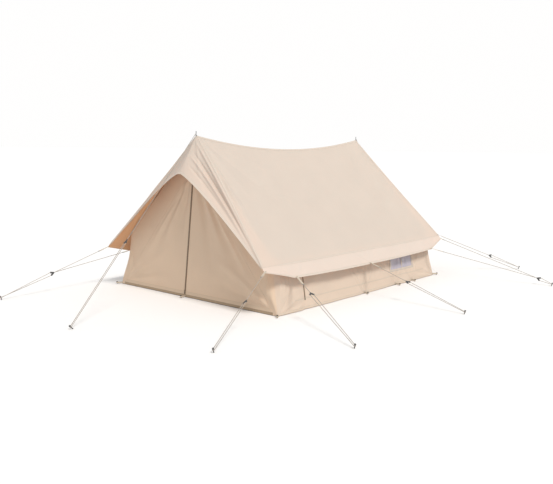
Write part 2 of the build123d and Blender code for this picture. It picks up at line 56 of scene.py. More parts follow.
camera = bpy.data.objects.new("camera", bpy.data.cameras.new("camera"))
bpy.context.scene.collection.objects.link(camera)
camera.data.sensor_width, camera.data.lens = 36.0, 45.25
sight = Vector((-math.sin(YAW) * math.cos(PITCH), math.cos(YAW) * math.cos(PITCH), -math.sin(PITCH)))
level = Vector((math.cos(YAW), math.sin(YAW), 0.0))
rise = level.cross(sight)
right = level * math.cos(ROLL) + rise * math.sin(ROLL)
up = rise * math.cos(ROLL) - level * math.sin(ROLL)
camera.matrix_world = Matrix.Translation(CAMERA_SPOT) @ Matrix((right, up, -sight)).transposed().to_4x4()
bpy.context.scene.camera = camera

# ---- Studio ------------------------------------------------------------------------------------
# A white floor, a bright even sky, and one broad sun from high on the window side.
bpy.context.scene.view_settings.view_transform = "Standard"


def plain_material(name, colour, roughness, metallic=0.0):
    """One Principled shader, whose node is returned with its material and tree."""
    material = bpy.data.materials.new(name)
    material.use_nodes = True
    shader = material.node_tree.nodes["Principled BSDF"]
    shader.inputs["Base Color"].default_value = (*colour, 1.0)
    shader.inputs["Roughness"].default_value = roughness
    shader.inputs["Metallic"].default_value = metallic
    return material, shader, material.node_tree


floor_mesh = bpy.data.meshes.new("floor")
FLOOR_REACH = 400.0
floor_mesh.from_pydata([(x, y, 0.0) for x, y in ((-1, -1), (1, -1), (1, 1), (-1, 1))], [], [(0, 1, 2, 3)])
floor_mesh.transform(Matrix.Diagonal((FLOOR_REACH, FLOOR_REACH, 1.0, 1.0)))
floor = bpy.data.objects.new("floor", floor_mesh)
bpy.context.scene.collection.objects.link(floor)
floor_mesh.materials.append(plain_material("floor_white", (0.86, 0.86, 0.86), 0.9)[0])

world = bpy.data.worlds.new("studio")
world.use_nodes = True
world.node_tree.nodes["Background"].inputs["Color"].default_value = (1.0, 0.995, 0.99, 1.0)
seen = world.node_tree.nodes.new("ShaderNodeLightPath")  # the backdrop is white, the light from it less
strength = world.node_tree.nodes.new("ShaderNodeMapRange")
strength.inputs["To Min"].default_value, strength.inputs["To Max"].default_value = 0.66, 1.0
world.node_tree.links.new(seen.outputs["Is Camera Ray"], strength.inputs["Value"])
world.node_tree.links.new(strength.outputs["Result"], world.node_tree.nodes["Background"].inputs["Strength"])
bpy.context.scene.world = world


sun = bpy.data.lights.new("sun", "SUN")
sun.energy, sun.angle, sun.color = 2.4, math.radians(16), (1.0, 0.975, 0.94)
lamp = bpy.data.objects.new("sun", sun)
lamp.matrix_world = Vector((-0.62, 0.16, -0.78)).to_track_quat("-Z", "Y").to_matrix().to_4x4()
bpy.context.scene.collection.objects.link(lamp)

# ---- Guy ropes ---------------------------------------------------------------------------------
# Braided cord of 5 mm. Each one leaves a ring at the eave or a pole's spike, runs through the nose
# of its runner, round its peg and back to the runner's other arm, and is pulled tight.
ROPE = 0.005
SPIKE_GRIP = 0.004
RING_ACROSS = 0.022
PEG_TURN = 0.007  # half the width of the turn round a peg
PEG_LIFT = 0.022  # rope above the ground at the peg
ARM_REACH, ARM_SPREAD = 0.036, 0.017  # runner's nose to the rope's place in its arms
STRAIGHT = 6 * ROPE

# name: where it pulls, its peg, its strap, how far down its runner sits, the runner's twist, its length
GUYS = {
    "front_peak": ((0.0, -1.354, 1.595), (0.16, -2.88), 0.0, 1.300, 20, 3.080),
    "front_left": ((-1.0974, -1.599, 0.4123), (-1.26, -2.71), 0.095, 0.622, 80, 1.628),
    "front_right": ((1.0974, -1.599, 0.4123), (1.46, -2.56), 0.060, 0.430, 30, 1.675),
    "right_front": ((1.1689, -1.241, 0.3368), (2.15, -1.78), 0.130, 0.300, 0, 1.863),
    "right_middle": ((1.1813, -0.060, 0.3237), (2.27, -0.20), 0.105, 0.450, 15, 1.689),
    "right_rear": ((1.0974, 1.599, 0.4123), (2.39, 1.70), 0.030, 1.180, 60, 1.467),
    "rear_right": ((1.060, 1.599, 0.454), (1.69, 2.55), 0.080, 0.750, 60, 1.577),
    "rear_left": ((-1.060, 1.599, 0.454), (-1.69, 2.55), 0.080, 0.750, 60, 1.577),
    "left_rear": ((-1.0974, 1.599, 0.4123), (-2.39, 1.70), 0.030, 1.180, 60, 1.467),
    "left_middle": ((-1.1813, -0.060, 0.3237), (-2.27, -0.20), 0.105, 0.450, 15, 1.689),
    "rear_peak": ((0.0, 1.354, 1.595), (-0.16, 2.88), 0.0, 1.300, 20, 3.080),
}
# name: the flap corner that it pulls, and its strap; it ends at the nose of the guy's own runner
BRIDLES = {
    "front_left": ((-1.1689, -1.241, 0.3368), 0.095),
    "right_rear": ((1.1689, 1.241, 0.3368), 0.125),
    "left_rear": ((-1.1689, 1.241, 0.3368), 0.125),
}


def rope_material():
    """Pale braid: two crossing diagonals of fine bands, worn a little grey, with painted shade in the hollows
    between the bands.
    """
    material, shader, tree = plain_material("braided_rope", (0.60, 0.54, 0.46), 0.85)
    place = tree.nodes.new("ShaderNodeTexCoord")
    braid = []
    for turn in (35, -35):
        turned = tree.nodes.new("ShaderNodeMapping")
        turned.inputs["Rotation"].default_value = (0.0, math.radians(turn), math.radians(turn))
        bands = tree.nodes.new("ShaderNodeTexWave")
        bands.inputs["Scale"].default_value = 260.0
        tree.links.new(place.outputs["Object"], turned.inputs["Vector"])
        tree.links.new(turned.outputs["Vector"], bands.inputs["Vector"])
        braid.append(bands)
    cross = tree.nodes.new("ShaderNodeMath")
    cross.operation = "MAXIMUM"
    for k, bands in enumerate(braid):
        tree.links.new(bands.outputs["Fac"], cross.inputs[k])
    # The bands' crowns are lighter and their hollows darker, following the bump: painted shade in the braid's
    # grooves.
    tone = tree.nodes.new("ShaderNodeMix")
    tone.data_type = "RGBA"
    tone.inputs[6].default_value = (0.27, 0.235, 0.20, 1.0)
    tone.inputs[7].default_value = (0.40, 0.355, 0.31, 1.0)
    bump = tree.nodes.new("ShaderNodeBump")
    bump.inputs["Strength"].default_value, bump.inputs["Distance"].default_value = 0.5, 0.0006
    tree.links.new(cross.outputs[0], tone.inputs[0])
    tree.links.new(tone.outputs[2], shader.inputs["Base Color"])
    tree.links.new(cross.outputs[0], bump.inputs["Height"])
    tree.links.new(bump.outputs["Normal"], shader.inputs["Normal"])
    return material


braided_rope = rope_material()


def guy_frame(name):
    """Unit vectors down the rope, level across it, and across its runner."""
    anchor, peg, _, _, twist, _ = GUYS[name]
    along = (Vector((*peg, PEG_LIFT)) - Vector(anchor)).normalized()
    level = along.cross(Vector((0.0, 0.0, 1.0))).normalized()
    return along, level, Matrix.Rotation(math.radians(twist), 3, along) @ level


def rope_route(name):
    """The rope's points, with one more about six diameters from the runner and the peg on each run."""
    anchor, peg, strap, distance, _, _ = GUYS[name]
    along, level, across = guy_frame(name)
    start = Vector(anchor) + along * (strap + RING_ACROSS if strap else SPIKE_GRIP)
    nose = Vector(anchor) + along * distance
    arm = nose + along * ARM_REACH
    turn = Vector((*peg, PEG_LIFT)) + along * PEG_TURN
    out, back = arm + across * ARM_SPREAD, arm - across * ARM_SPREAD
    far, near = turn + level * PEG_TURN, turn - level * PEG_TURN
    down, home = (far - out).normalized() * STRAIGHT, (back - near).normalized() * STRAIGHT
    return [
        start, nose - along * STRAIGHT, nose, out, out + down, far - down, far,
        near, near + home, back - home, back,
    ]


def rope_piece(name, route, node):
    """A round curve along the route's points."""
    curve = bpy.data.curves.new(name, "CURVE")
    curve.dimensions, curve.bevel_depth, curve.bevel_resolution = "3D", ROPE / 2, 2
    curve.resolution_u, curve.use_fill_caps = 8, True
    spline = curve.splines.new("NURBS")
    spline.points.add(len(route) - 1)
    for spot, point in zip(spline.points, route):
        spot.co = (*point, 1.0)
    spline.order_u, spline.use_endpoint_u = 3, True
    curve.materials.append(braided_rope)
    piece = bpy.data.objects.new(name, curve)
    bpy.context.scene.collection.objects.link(piece)
    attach(piece, "tent")
    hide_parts(node)
    return piece


for name, (anchor, peg, strap, distance, twist, length) in GUYS.items():
    route = rope_route(name)
    cord = rope_piece(f"rope_{name}", route, f"guy_{name}")
for name, (anchor, strap) in BRIDLES.items():
    nose = rope_route(name)[2]
    along = (nose - Vector(anchor)).normalized()
    start = Vector(anchor) + along * (strap + RING_ACROSS)
    cord = rope_piece(f"rope_bridle_{name}", [start, start.lerp(nose, 0.5), nose], f"bridle_{name}")

# ---- Canvas ------------------------------------------------------------------------------------
# Woven cotton of about 0.3 kg a square metre. Light comes through it, so a shaded side glows warm.


def group_socket(group, name, way, kind="NodeSocketFloat", value=None):
    socket = group.interface.new_socket(name, in_out=way, socket_type=kind)
    if value is not None:
        socket.default_value = value


def join(tree, operation, *feeds):
    """A Math node fed by sockets or numbers; returns its output."""
    node = tree.nodes.new("ShaderNodeMath")
    node.operation = operation
    for k, feed in enumerate(feeds):
        if isinstance(feed, (int, float)):
            node.inputs[k].default_value = feed
        else:
            tree.links.new(feed, node.inputs[k])
    return node.outputs[0]


def weave_group():
    """Plain weave: warp and weft bands cross, with slubs along the threads and a faint uneven tone."""
    group = bpy.data.node_groups.new("canvas_weave", "ShaderNodeTree")
    group_socket(group, "Vector", "INPUT", "NodeSocketVector")
    group_socket(group, "Colour", "INPUT", "NodeSocketColor", (0.8, 0.7, 0.6, 1.0))
    group_socket(group, "Threads per Metre", "INPUT", value=700.0)
    group_socket(group, "Unevenness", "INPUT", value=0.08)
    group_socket(group, "Colour", "OUTPUT", "NodeSocketColor")
    group_socket(group, "Roughness", "OUTPUT")
    group_socket(group, "Height", "OUTPUT")
    given, put = group.nodes.new("NodeGroupInput"), group.nodes.new("NodeGroupOutput")
    threads = []
    for way in ("X", "Y"):
        bands = group.nodes.new("ShaderNodeTexWave")
        bands.bands_direction = way
        group.links.new(given.outputs["Vector"], bands.inputs["Vector"])
        pitch = join(group, "MULTIPLY", given.outputs["Threads per Metre"], 0.16)
        group.links.new(pitch, bands.inputs["Scale"])
        threads.append(bands.outputs["Fac"])
    cross = join(group, "MAXIMUM", *threads)
    tones = []
    for stretch, scale, detail in (((60.0, 900.0, 1.0), 1.0, 2.0), ((1.0, 1.0, 1.0), 3.2, 4.0)):
        drawn = group.nodes.new("ShaderNodeMapping")
        drawn.inputs["Scale"].default_value = stretch
        noise = group.nodes.new("ShaderNodeTexNoise")
        noise.inputs["Scale"].default_value, noise.inputs["Detail"].default_value = scale, detail
        group.links.new(given.outputs["Vector"], drawn.inputs["Vector"])
        group.links.new(drawn.outputs["Vector"], noise.inputs["Vector"])
        tones.append(join(group, "SUBTRACT", noise.outputs["Fac"], 0.5))
    tone = join(group, "ADD", join(group, "MULTIPLY", tones[0], 0.7), tones[1])
    shade = join(group, "MULTIPLY_ADD", tone, given.outputs["Unevenness"], 1.0)
    tinted = group.nodes.new("ShaderNodeVectorMath")
    tinted.operation = "SCALE"
    group.links.new(given.outputs["Colour"], tinted.inputs[0])
    group.links.new(shade, tinted.inputs["Scale"])
    group.links.new(tinted.outputs[0], put.inputs["Colour"])
    group.links.new(join(group, "MULTIPLY_ADD", tone, 0.1, 0.88), put.inputs["Roughness"])
    group.links.new(join(group, "MULTIPLY_ADD", tones[0], 0.6, cross), put.inputs["Height"])
    return group


def stitch_group():
    """Two rows of lock stitches along a tape: 1 where a thread shows. UV runs in metres, V across it."""
    group = bpy.data.node_groups.new("stitch_rows", "ShaderNodeTree")
    group_socket(group, "Vector", "INPUT", "NodeSocketVector")
    group_socket(group, "Tape Width", "INPUT", value=0.022)
    group_socket(group, "Stitch", "INPUT", value=0.006)
    group_socket(group, "Mask", "OUTPUT")
    given, put = group.nodes.new("NodeGroupInput"), group.nodes.new("NodeGroupOutput")
    parts = group.nodes.new("ShaderNodeSeparateXYZ")
    group.links.new(given.outputs["Vector"], parts.inputs[0])
    middle = join(group, "MULTIPLY", given.outputs["Tape Width"], 0.5)
    off = join(group, "ABSOLUTE", join(group, "SUBTRACT", parts.outputs["Y"], middle))
    row = join(group, "MULTIPLY", given.outputs["Tape Width"], 0.32)
    thread = join(group, "LESS_THAN", join(group, "ABSOLUTE", join(group, "SUBTRACT", off, row)), 0.0009)
    beat = join(group, "FRACT", join(group, "DIVIDE", parts.outputs["X"], given.outputs["Stitch"]))
    group.links.new(join(group, "MULTIPLY", thread, join(group, "LESS_THAN", beat, 0.7)), put.inputs["Mask"])
    return group


WEAVE, STITCHES = weave_group(), stitch_group()


def canvas(name, colour, glow, through=0.22, threads=700.0, uneven=0.08, tape=0.0, thread=(0.5, 0.42, 0.33)):
    """Woven cloth over UVs in metres; tape is the width of a tape that has two rows of stitches."""
    material, shader, tree = plain_material(name, colour, 0.9)
    shader.inputs["Sheen Weight"].default_value = 0.12
    place = tree.nodes.new("ShaderNodeUVMap")
    place.uv_map = "cloth"
    weave = tree.nodes.new("ShaderNodeGroup")
    weave.node_tree = WEAVE
    weave.inputs["Colour"].default_value = (*colour, 1.0)
    weave.inputs["Threads per Metre"].default_value = threads
    weave.inputs["Unevenness"].default_value = uneven
    tree.links.new(place.outputs["UV"], weave.inputs["Vector"])
    shown = weave.outputs["Colour"]
    height = weave.outputs["Height"]
    if tape:
        rows = tree.nodes.new("ShaderNodeGroup")
        rows.node_tree = STITCHES
        rows.inputs["Tape Width"].default_value = tape
        tree.links.new(place.outputs["UV"], rows.inputs["Vector"])
        sewn = tree.nodes.new("ShaderNodeMix")
        sewn.data_type = "RGBA"
        sewn.inputs[7].default_value = (*thread, 1.0)
        tree.links.new(rows.outputs["Mask"], sewn.inputs[0])
        tree.links.new(shown, sewn.inputs[6])
        shown = sewn.outputs[2]
        height = join(tree, "ADD", height, rows.outputs["Mask"])
    bump = tree.nodes.new("ShaderNodeBump")
    bump.inputs["Strength"].default_value, bump.inputs["Distance"].default_value = 0.35, 0.0005
    tree.links.new(height, bump.inputs["Height"])
    tree.links.new(bump.outputs["Normal"], shader.inputs["Normal"])
    tree.links.new(shown, shader.inputs["Base Color"])
    tree.links.new(weave.outputs["Roughness"], shader.inputs["Roughness"])
    seen_through = tree.nodes.new("ShaderNodeBsdfTranslucent")
    seen_through.inputs["Color"].default_value = (*glow, 1.0)
    both = tree.nodes.new("ShaderNodeMixShader")
    both.inputs[0].default_value = through
    tree.links.new(shader.outputs[0], both.inputs[1])
    tree.links.new(seen_through.outputs[0], both.inputs[2])
    tree.links.new(both.outputs[0], tree.nodes["Material Output"].inputs["Surface"])
    return material


GLOW = (1.0, 0.57, 0.27)
roof_canvas = canvas("roof_canvas", (0.655, 0.60, 0.525), GLOW, 0.22)
eave_canvas = canvas("eave_canvas", (0.70, 0.645, 0.575), GLOW, 0.22)
wall_canvas = canvas("wall_canvas", (0.72, 0.62, 0.51), GLOW, 0.24)
# The end walls' cotton and tape are tinted warmer and darker than the side walls': painted shade, for the
# ends that the sun barely reaches.
end_canvas = canvas("end_canvas", (0.73, 0.575, 0.43), GLOW, 0.15)
roof_tape = canvas("roof_tape", (0.67, 0.605, 0.53), GLOW, 0.18, tape=0.024)
end_tape_painted_shade = canvas("end_tape_painted_shade", (0.68, 0.53, 0.39), GLOW, 0.10, tape=0.024)
brown_tape = canvas("brown_tape", (0.40, 0.29, 0.19), (0.4, 0.25, 0.15), 0.03, tape=0.024)

fly_inside_painted_glow = canvas("fly_inside_painted_glow", (0.80, 0.53, 0.32), GLOW, 0.30)  # its orange is painted glow: the warm light that comes through the cloth, painted on the fly's inner faces

CLOTH_THICK = 0.0011


def normals(points, way=1):
    """Unit normals of a grid of points, from the cross product of its two gradients."""
    cross = np.cross(np.gradient(points, axis=1), np.gradient(points, axis=0)) * way
    return cross / np.maximum(np.linalg.norm(cross, axis=2, keepdims=True), 1e-12)


def cloth_piece(
    name, points, way, material, body, replaced=(), drop=None, thick=CLOTH_THICK, inner_face_material=None
):
    """A grid of points as a smooth sheet with its own thickness, whose outer face is the grid.

    way is 1 where the step along a row crossed with the step down a column points outwards, else -1.
    drop is a mask of cells left out, as where a window is cut. Its UVs are distances along the cloth,
    in metres. The inner face's material comes last; the fly's is painted glow, the light through the cloth
    set as its colour.
    """
    rows, columns = points.shape[:2]
    index = np.arange(rows * columns).reshape(rows, columns)
    cells = np.stack([index[:-1, :-1], index[:-1, 1:], index[1:, 1:], index[1:, :-1]], axis=2)
    if way < 0:
        cells = cells[:, :, ::-1]
    cells = cells.reshape(-1, 4) if drop is None else cells[~drop].reshape(-1, 4)
    used, cells = np.unique(cells, return_inverse=True)
    cells, count = cells.reshape(-1, 4), len(used)
    along = np.cumsum(np.linalg.norm(np.diff(points, axis=1, prepend=points[:, :1]), axis=2), axis=1)
    down = np.cumsum(np.linalg.norm(np.diff(points, axis=0, prepend=points[:1]), axis=2), axis=0)
    flat = np.stack([along, down], axis=2).reshape(-1, 2)[used]
    outer = points.reshape(-1, 3)[used]
    inner = outer - normals(points, way).reshape(-1, 3)[used] * thick
    edges = np.stack([cells, np.roll(cells, -1, axis=1)], axis=2).reshape(-1, 2)
    key, back = edges[:, 0] * count + edges[:, 1], edges[:, 1] * count + edges[:, 0]
    rim = edges[~np.isin(key, back)]
    side = np.column_stack([rim[:, 1], rim[:, 0], rim[:, 0] + count, rim[:, 1] + count])
    faces = np.concatenate([cells, cells[:, ::-1] + count, side])
    mesh = bpy.data.meshes.new(name)
    mesh.from_pydata(np.concatenate([outer, inner]).tolist(), [], faces.tolist())
    spots = np.concatenate([flat, flat])[faces.reshape(-1)]
    mesh.uv_layers.new(name="cloth").data.foreach_set("uv", spots.reshape(-1))
    ends = np.zeros(len(mesh.edges) * 2, int)
    mesh.edges.foreach_get("vertices", ends)
    ends = np.sort(ends.reshape(-1, 2), axis=1)
    hard = np.sort(np.concatenate([rim, rim + count]), axis=1)
    mesh.attributes.new("sharp_edge", "BOOLEAN", "EDGE").data.foreach_set(
        "value", np.isin(ends[:, 0] * 2 * count + ends[:, 1], hard[:, 0] * 2 * count + hard[:, 1])
    )
    mesh.polygons.foreach_set("use_smooth", [True] * len(faces))
    mesh.materials.append(material)
    if inner_face_material:
        mesh.materials.append(inner_face_material)
        inside = np.repeat([0, 1, 0], [len(cells), len(cells), len(side)])
        mesh.polygons.foreach_set("material_index", inside)
    piece = bpy.data.objects.new(name, mesh)
    bpy.context.scene.collection.objects.link(piece)
    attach(piece, body)
    if replaced:
        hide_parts(*replaced)
    return piece


def fold(a, b, start, finish, width, depth, spread=0.8):
    """One soft crease in the cloth's flat coordinates: a Gaussian ridge along a line.

    It widens along its length by spread, and rises and fades with a sine that peaks in the first third.
    """
    reach = (finish[0] - start[0], finish[1] - start[1])
    long = math.hypot(*reach)
    t = ((a - start[0]) * reach[0] + (b - start[1]) * reach[1]) / long**2
    off = ((a - start[0]) * reach[1] - (b - start[1]) * reach[0]) / long
    share = np.clip(t, 0.0, 1.0)
    wide = width * (0.45 + spread * share)
    return depth * np.sin(np.pi * share**0.62) * np.exp(-((off / wide) ** 2))


def slack(a, b, seed, depth, span):
    """Gentle unevenness: a sum of seven plane waves with seeded directions, each about span long."""
    draw = np.random.RandomState(seed)
    total = np.zeros_like(a)
    for _ in range(7):
        turn, phase, stretch = draw.uniform(0, np.pi), draw.uniform(0, 2 * np.pi), draw.uniform(0.7, 1.6)
        wave = 2 * np.pi / (span * stretch)
        total += np.sin(wave * (a * np.cos(turn) + b * np.sin(turn)) + phase)
    return depth * total / 3.0


def ramp(distance, width):
    """0 at distance 0, 1 from width on, with a smooth step between."""
    share = np.clip(distance / width, 0.0, 1.0)
    return share * share * (3 - 2 * share)


# ---- Fly: roof panels --------------------------------------------------------------------------
# Two cotton panels sewn along the ridge. The ridge hangs between the poles, and the pull from each
# pole's top runs down the end seams as a fan of creases.
PEAK, PEAK_Y, SAG = 1.573, 1.354, 0.122
EAVE_X, EAVE_Z, EAVE_Y = 1.060, 0.454, 1.593
SLOPE = math.atan2(PEAK - EAVE_Z, EAVE_X)
SLOPE_LENGTH = math.hypot(PEAK - EAVE_Z, EAVE_X)
SEAM_BOW = -0.3


def end_seam(share):
    """How far out the end seam runs, at a share of the way from the ridge to the fold line."""
    return PEAK_Y + (EAVE_Y - PEAK_Y) * (share + SEAM_BOW * share * (1 - share) ** 1.1)


def roof_points(side, along, share):
    """Along the ridge from -1 to 1, down the slope by share; straight from ridge to fold line."""
    y = along * end_seam(share)
    ridge = PEAK - SAG * (1 - np.minimum(np.abs(y) / PEAK_Y, 1.0) ** 2)
    x = side * EAVE_X * share
    return np.stack([x, y, ridge + (EAVE_Z - ridge) * share], axis=2)


# start along Y, start down the slope, end along Y, end down the slope, half width, height
FRONT_CREASES = (
    ((-1.35, 0.02), (-1.52, 1.44), 0.026, 0.0150),
    ((-1.34, 0.03), (-1.46, 1.40), 0.024, -0.0130),
    ((-1.34, 0.04), (-1.40, 1.34), 0.028, 0.0120),
    ((-1.33, 0.05), (-1.30, 1.10), 0.034, -0.0080),
    ((-1.38, 0.55), (-1.53, 1.46), 0.016, -0.0060),
    ((-1.32, 0.04), (-1.05, 1.05), 0.050, 0.0070),
    ((-1.31, 0.02), (-0.70, 0.85), 0.060, -0.0075),
    ((-1.30, 0.01), (-0.40, 0.42), 0.055, 0.0055),
    ((-0.95, 0.60), (-0.10, 1.05), 0.070, 0.0040),
)
REAR_CREASES = (
    ((1.36, 0.02), (1.50, 1.05), 0.032, 0.0070),
    ((1.35, 0.03), (1.38, 1.25), 0.030, -0.0055),
    ((1.33, 0.04), (1.15, 0.95), 0.045, 0.0045),
    ((1.31, 0.02), (0.75, 0.80), 0.060, -0.0045),
    ((1.40, 0.60), (1.52, 1.45), 0.020, 0.0040),
)


def roof_surface(side, along, share, seed):
    """The panel's points with its hang between ridge and eave, its creases and its unevenness."""
    flat = roof_points(side, along, share)
    y, s = flat[:, :, 1], share * SLOPE_LENGTH
    swell = -0.016 * np.sin(np.pi * share) * (1 - 0.6 * np.abs(along) ** 3)
    creases = sum(fold(y, s, *crease) for crease in FRONT_CREASES + REAR_CREASES)
    swell += creases + slack(y, s, seed, 0.0016, 0.75) + slack(y, s, seed + 1, 0.0005, 0.22)
    hold = ramp(s, 0.05) * ramp(SLOPE_LENGTH - s, 0.05) * ramp((1 - np.abs(along)) * EAVE_Y, 0.035)
    return flat + normals(flat, -side) * (swell * hold)[:, :, None]


def strip(side, seed, along, share, lift=0.0016):
    """Part of a roof panel's surface, lifted a little, for a tape sewn on it."""
    points = roof_surface(side, along, share, seed)
    return points + normals(points, -side) * lift


def spread(low, high, steps, low_across, high_across, across):
    """Two grids: the first runs from low to high along its columns, the second down its rows."""
    return np.meshgrid(np.linspace(low, high, steps), np.linspace(low_across, high_across, across))


TAPE = 0.024
for place, side, seed in (("right", 1, 11), ("left", -1, 23)):
    along, share = spread(-1, 1, 300, 0, 1, 140)
    points = roof_surface(side, along, share, seed)
    roof = cloth_piece(
        f"roof_canvas_{place}", points, -side, roof_canvas, "tent", [f"roof_panel_{place}"],
        inner_face_material=fly_inside_painted_glow,
    )
    for end, low, high in (("front", -1.0, -1.0 + TAPE / EAVE_Y), ("rear", 1.0 - TAPE / EAVE_Y, 1.0)):
        along, share = spread(low, high, 4, 0.012, 0.992, 140)
        points = strip(side, seed, along, share)
        cloth_piece(
                f"{end}_seam_tape_{place}", np.swapaxes(points, 0, 1), side, roof_tape, "tent"
            )
    along, share = spread(-0.997, 0.997, 240, 0.0, TAPE / SLOPE_LENGTH, 4)
    cloth_piece(
            f"ridge_tape_{place}", strip(side, seed, along, share), -side, roof_tape, "tent"
        )

# ---- Eave flaps --------------------------------------------------------------------------------
# A strip of the same cotton sewn on below the fold line, with its ends cut off at a slant. The guy
# ropes pull on its lower corners and its middle.
FLAP_TIP, FLAP_CORNER, FLAP_WIDE, FLAP_CORNER_Y = 0.056, 0.160, 0.178, 1.241
PULLS = (-FLAP_CORNER_Y, -0.06, FLAP_CORNER_Y)


def flap_depth(y):
    """Depth of the flap: a shallow bow between the corners, then a straight slant to the tips."""
    bow = FLAP_CORNER + (FLAP_WIDE - FLAP_CORNER) * (1 - (y / FLAP_CORNER_Y) ** 2)
    slant = (np.abs(y) - FLAP_CORNER_Y) / (EAVE_Y - FLAP_CORNER_Y)
    return np.where(np.abs(y) < FLAP_CORNER_Y, bow, FLAP_CORNER + (FLAP_TIP - FLAP_CORNER) * slant)


def flap_points(side, y, share, seed):
    """Down the slope from the fold line, a little steeper towards the hem, drawn out at the pulls."""
    depth = flap_depth(y) * share
    droop = SLOPE + 0.10 * (depth / FLAP_WIDE) ** 1.5
    x = EAVE_X + depth * np.cos(droop)
    z = EAVE_Z - depth * np.sin(droop)
    flat = np.stack([side * x, y, z], axis=2)
    pull = sum(np.exp(-(((y - spot) / 0.16) ** 2)) for spot in PULLS)
    ripple = 0.006 * (pull - 0.5) * share**1.5 + slack(y, depth, seed, 0.0022, 0.45) * share
    for spot in PULLS:
        for lean in (-0.22, 0.22):
            ripple += fold(y, depth, (spot, 0.17), (spot + lean, 0.02), 0.018, -0.003)
    return flat + normals(flat, -side) * ripple[:, :, None]


for place, side, seed in (("right", 1, 31), ("left", -1, 37)):
    y, share = spread(-EAVE_Y, EAVE_Y, 320, 0, 1, 22)
    flap = cloth_piece(
        f"flap_canvas_{place}", flap_points(side, y, share, seed), -side, eave_canvas, "tent",
        [f"eave_flap_{place}"], inner_face_material=fly_inside_painted_glow,
    )
    for part, low, high in (("fold", 0.0, 0.12), ("hem", 0.88, 1.0)):
        y, share = spread(-EAVE_Y + 0.002, EAVE_Y - 0.002, 320, low, high, 4)
        points = flap_points(side, y, share, seed)
        points = points + normals(points, -side) * 0.0015
        tape = cloth_piece(f"flap_{part}_tape_{place}", points, -side, roof_tape, "tent")

# ---- Beaks -------------------------------------------------------------------------------------
# The overhang at each end, cut as one piece from seam to seam. Its hem rises in a rounded arch over
# the wall, with a wide band turned up along it.
BEAK_DEPTH, BEAK_DROP, BEAK_BOW, CROWN_SOFT = 0.221, 0.358, 0.045, 0.018


def beak_points(end, x, share):
    """From the end seam at share 0 to the hem at 1, straight in each upright slice along the ridge."""
    part = np.minimum(np.abs(x) / EAVE_X, 1.0)
    seam_y, seam_z = end_seam(part), PEAK + (EAVE_Z - PEAK) * part
    soft = (np.sqrt(x**2 + CROWN_SOFT**2) - CROWN_SOFT) / EAVE_X
    crown, foot = PEAK - BEAK_DROP, EAVE_Z - FLAP_TIP / 2
    hem_z = crown + (foot - crown) * soft + BEAK_BOW * np.sin(np.pi * np.minimum(soft, 1) ** 0.65) - 0.004
    hem_y = PEAK_Y + BEAK_DEPTH + (EAVE_Y - PEAK_Y - BEAK_DEPTH) * part
    y = seam_y + (hem_y - seam_y) * share
    return np.stack([x, end * y, seam_z + (hem_z - seam_z) * share], axis=2)


def beak_surface(end, x, share, seed):
    """The beak with a hollow between seam and hem and long creases running out to its corners."""
    flat = beak_points(end, x, share)
    part = np.abs(x) / EAVE_X
    deep = np.sqrt(np.maximum(1 - part, 0.0)) * 0.36
    hollow = -0.020 * np.sin(np.pi * share) * np.sin(np.pi * np.clip(part, 0, 1) ** 0.7)
    drop = share * deep
    creases = 0.0
    for side in (-1, 1):
        creases = creases + fold(side * x, drop, (0.02, 0.04), (0.98, 0.03), 0.024, 0.0130)
        creases = creases + fold(side * x, drop, (0.04, 0.12), (1.00, 0.035), 0.022, -0.0120)
        creases = creases + fold(side * x, drop, (0.03, 0.17), (0.92, 0.07), 0.024, 0.0130)
        creases = creases + fold(side * x, drop, (0.06, 0.24), (0.80, 0.12), 0.022, -0.0090)
        creases = creases + fold(side * x, drop, (0.02, 0.02), (0.30, 0.30), 0.028, 0.0050)
    swell = hollow + creases + slack(x, drop, seed, 0.0015, 0.35)
    swell = swell * ramp(share * (0.05 + deep), 0.03) * ramp((1 - share) * (0.05 + deep), 0.02)
    return flat + normals(flat, end) * (swell * ramp(EAVE_X - np.abs(x), 0.05))[:, :, None]


for end_name, end, seed in (("front", -1, 41), ("rear", 1, 47)):
    x, share = spread(-EAVE_X + 0.001, EAVE_X - 0.001, 360, 0.0, 1.0, 60)
    points = beak_surface(end, x, share, seed)
    beak = cloth_piece(
        f"{end_name}_beak_canvas", points, end, roof_canvas, "tent", [f"{end_name}_beak"],
        inner_face_material=fly_inside_painted_glow,
    )
    width = np.linalg.norm(points[-1] - points[0], axis=1)
    inner = 1 - 0.030 / np.maximum(width, 0.031)
    x = np.repeat(np.linspace(-EAVE_X + 0.001, EAVE_X - 0.001, 360)[None], 4, axis=0)
    share = inner + (1 - inner) * np.linspace(0, 1, 4)[:, None]
    band = beak_surface(end, x, share, seed)
    band = band + normals(band, end) * 0.0018
    hem = cloth_piece(f"{end_name}_beak_hem", band, end, roof_tape, "tent", thick=0.0035)

# ---- End walls ---------------------------------------------------------------------------------
# Upright canvas at each end, leaning in a little. The front wall is two fixed parts and two door
# leaves on one surface, which turns a soft corner into each side wall.
WALL_FOOT_Y, WALL_TOP_Y, APEX = 1.420, 1.3715, 1.5263
TILT = math.atan2(WALL_FOOT_Y - WALL_TOP_Y, PEAK)
FOOT_X, SHOULDER_X, SHOULDER_Z = 1.100, 1.025, 0.4775
OUTER_FACE = 0.003
ZIP_TOP, ZIP_FOOT = (0.0, 1.300), (-0.095, 0.030)
DOOR_CORNER = (1.045, 0.030)
LEAF_DROP, HEM_LIFT = 0.0015, 0.0014


def corner_radius(z):
    """The wall's upright corners are sharp at the peg and rounder towards the eave."""
    return 0.016 + 0.105 * ramp(z, 0.34)


